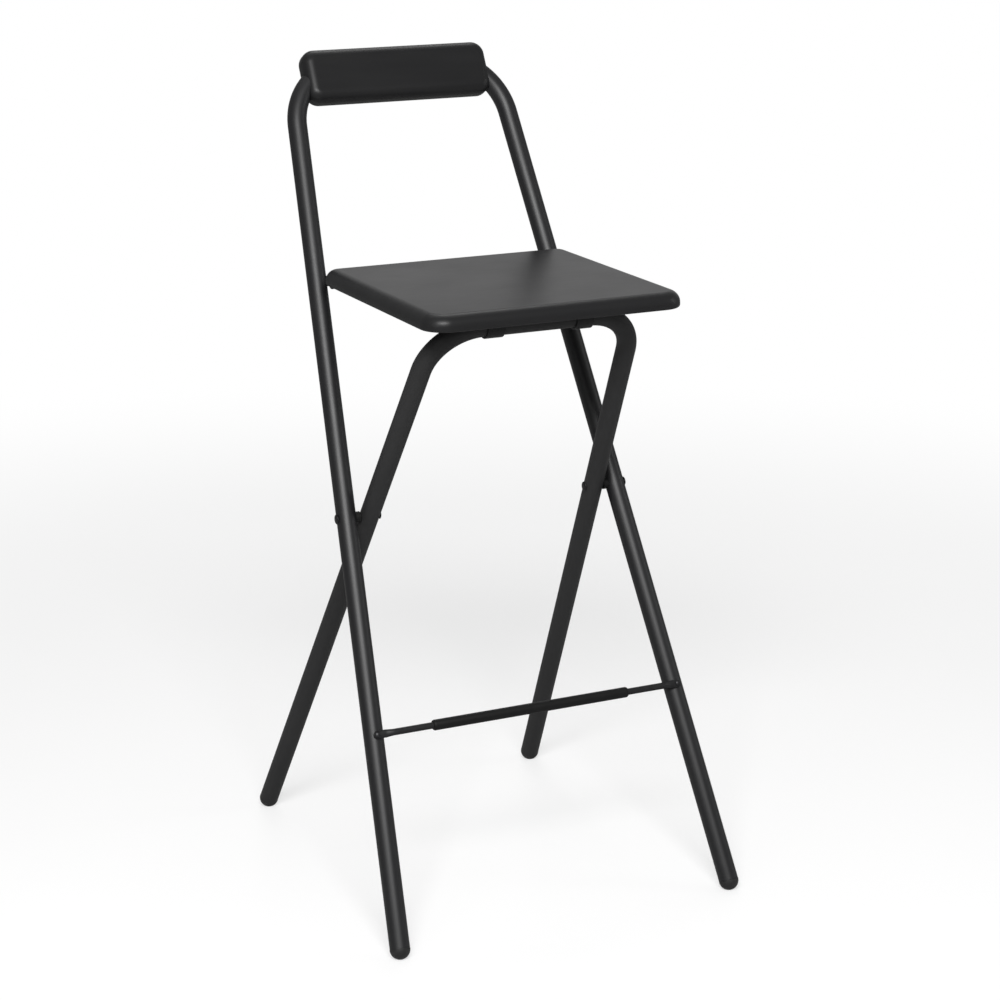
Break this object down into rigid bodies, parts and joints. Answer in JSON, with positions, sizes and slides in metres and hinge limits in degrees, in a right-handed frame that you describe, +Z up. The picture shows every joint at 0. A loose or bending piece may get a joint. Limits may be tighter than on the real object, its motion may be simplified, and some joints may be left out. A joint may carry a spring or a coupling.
{
  "type": "folding bar stool",
  "caption": "Folding bar stool: two crossing bent-tube frames, a hinged seat board that swings up against the backrest, a clamped low backrest and a footrest bar.",
  "frame": {"origin": "the middle of the footprint on the floor", "axes": "+Z is up, the front of the stool faces -Y, +X is on the sitter's left"},
  "size_m": [0.4656, 0.529, 0.9882],
  "materials": {
    "gloss_paint": "semi-gloss black powder coat",
    "matte_paint": "satin black powder coat",
    "black_wood": "satin black lacquer",
    "black_plastic": "matt black moulding",
    "black_steel": "black coated steel"
  },
  "bodies": {
    "long_frame": {"long_frame_tube": "gloss_paint", "footrest_rod": "black_steel", "footrest_sleeve": "black_plastic", "footrest_rivet_left": "black_steel", "footrest_rivet_right": "black_steel", "backrest_front": "black_wood", "backrest_rear": "black_wood", "backrest_screw_1": "black_steel", "backrest_screw_2": "black_steel", "backrest_screw_3": "black_steel", "backrest_screw_4": "black_steel", "front_foot_left": "black_plastic", "front_foot_right": "black_plastic", "crossing_rivet_left": "black_steel", "crossing_rivet_right": "black_steel", "crossing_spacer_left": "black_plastic", "crossing_spacer_right": "black_plastic", "seat_rest_left": "gloss_paint", "seat_rest_right": "gloss_paint"},
    "short_frame": {"short_frame_tube": "matte_paint", "rear_foot_left": "black_plastic", "rear_foot_right": "black_plastic"},
    "seat": {"seat_board": "black_wood", "seat_strap_left": "black_steel", "seat_strap_right": "black_steel", "strap_screw_left_1": "black_steel", "strap_screw_left_2": "black_steel", "strap_screw_right_1": "black_steel", "strap_screw_right_2": "black_steel"}
  },
  "joints": [
    {"name": "fold", "type": "hinge", "parent": "long_frame", "child": "short_frame", "pos_m": [0, -0.01652, 0.46406], "axis": [-1, 0, 0], "range_deg": [0, 50]},
    {"name": "seat_swing", "type": "hinge", "parent": "short_frame", "child": "seat", "pos_m": [0, -0.15941, 0.71559], "axis": [1, 0, 0], "range_deg": [0, 108]}
  ],
  "couplings": [
    {"joint": "seat_swing", "follows": "fold", "ratio": 2.16}
  ]
}
